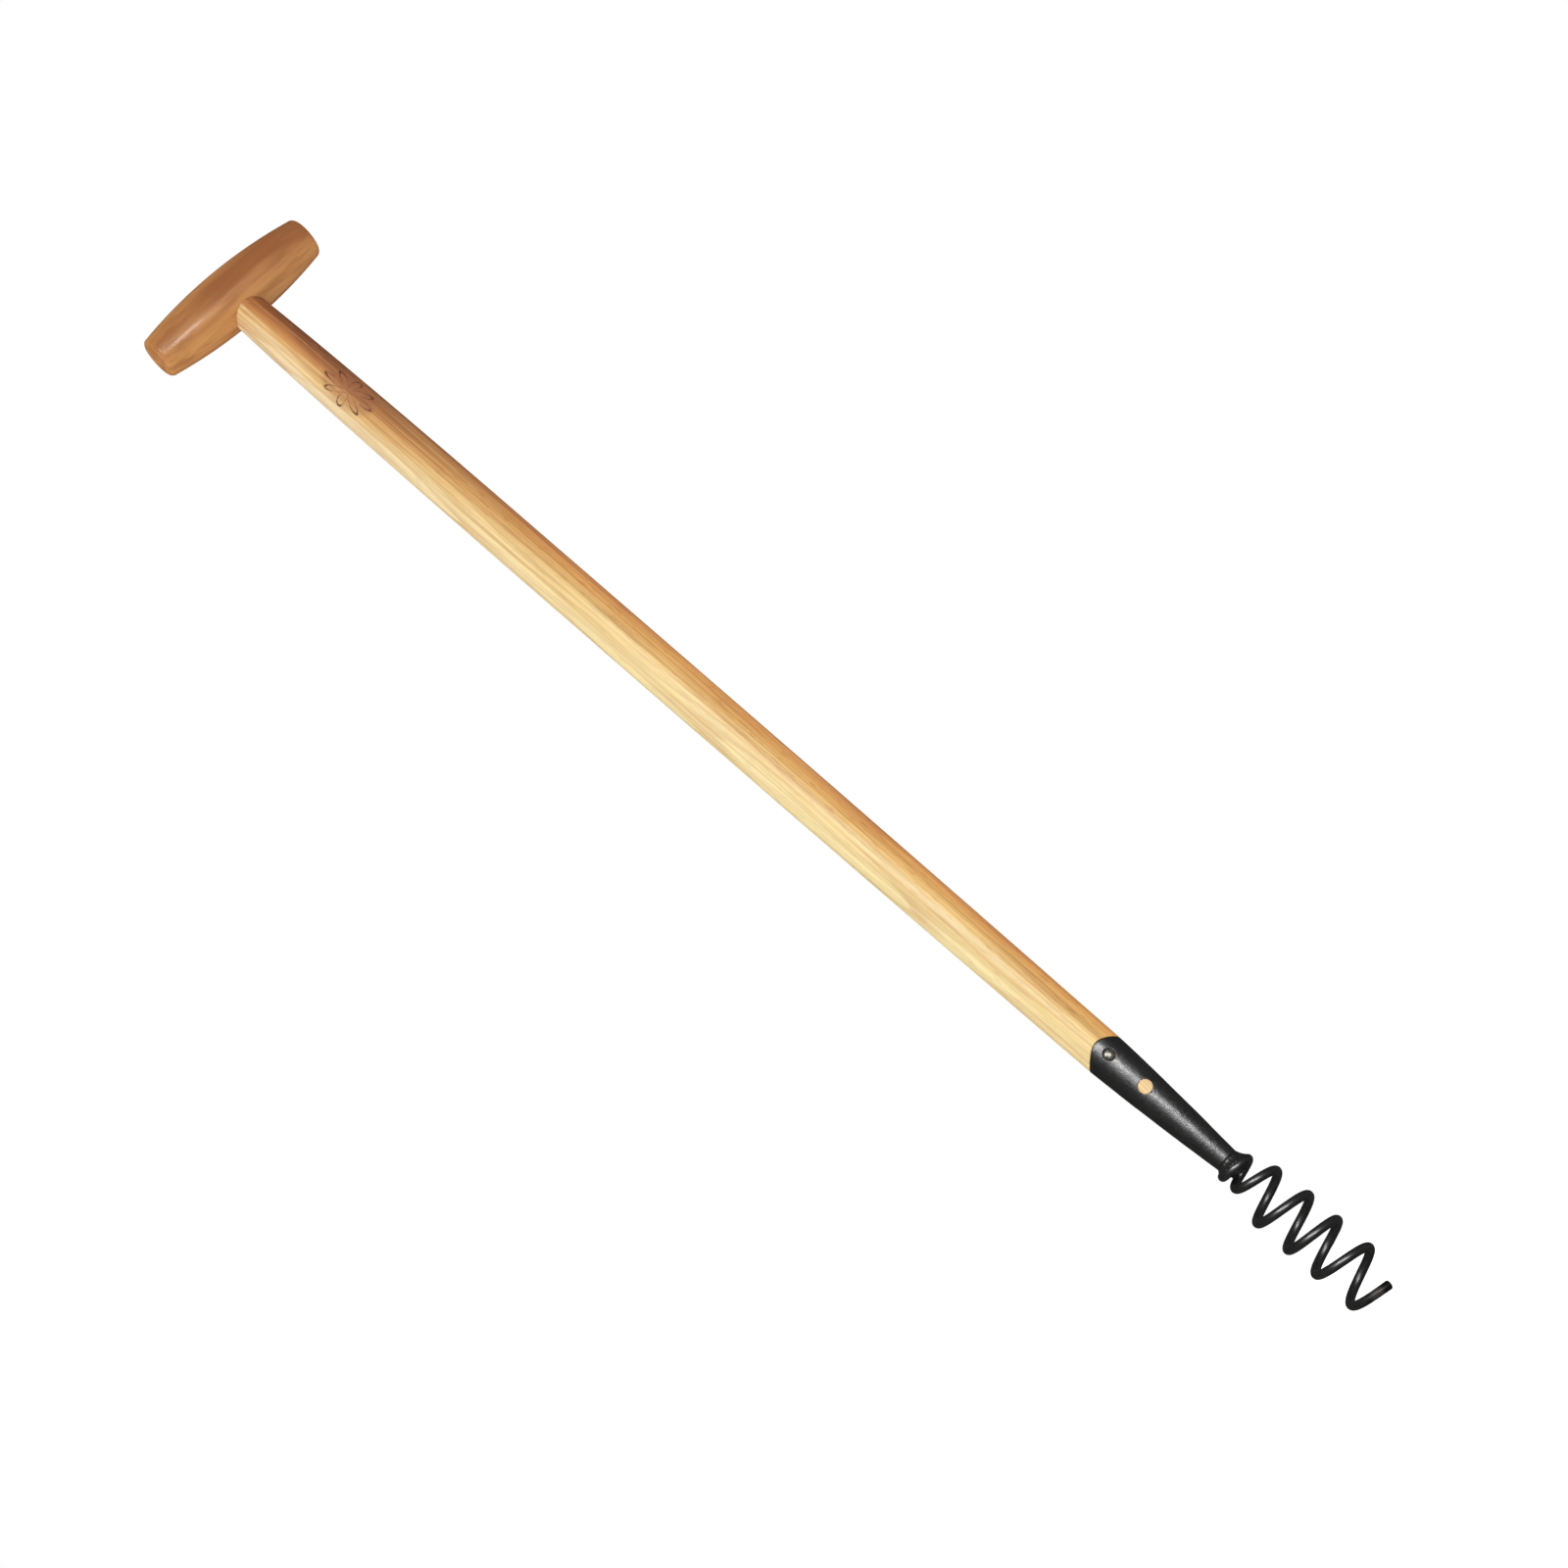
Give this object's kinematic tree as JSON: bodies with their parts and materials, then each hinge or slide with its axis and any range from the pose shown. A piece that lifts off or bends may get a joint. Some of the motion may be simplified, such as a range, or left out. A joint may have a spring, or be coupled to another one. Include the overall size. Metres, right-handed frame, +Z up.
{
  "type": "hand auger",
  "caption": "Long-handled hand auger: turned wooden T-grip, swelled wooden shaft and a steel socket that carries an open spiral of round rod, screwed into soil by turning the grip.",
  "frame": {"origin": "on the axis of the shaft, at the height of the lowest point of the spiral's cut tip", "axes": "+Z up the shaft to the grip, X along the grip, -Y the side with the rivet's domed head and the wooden plug, which sit 9 degrees round from it towards -X"},
  "size_m": [0.1344, 0.041, 1],
  "materials": {
    "grip_wood": "satin varnish over turned reddish-brown hardwood",
    "shaft_wood": "satin varnish over straight-grained ash",
    "plug_wood": "bare ash, cut flush",
    "black_steel": "black, satin, slightly pitted forged surface",
    "rivet_steel": "dark bare steel, hammered dome"
  },
  "bodies": {
    "root": {"grip": "grip_wood", "shaft": "shaft_wood", "grip_wedge": "grip_wood", "socket": "black_steel", "socket_rivet": "rivet_steel", "socket_plug": "plug_wood", "neck_weld": "black_steel", "spiral": "black_steel"}
  },
  "joints": []
}
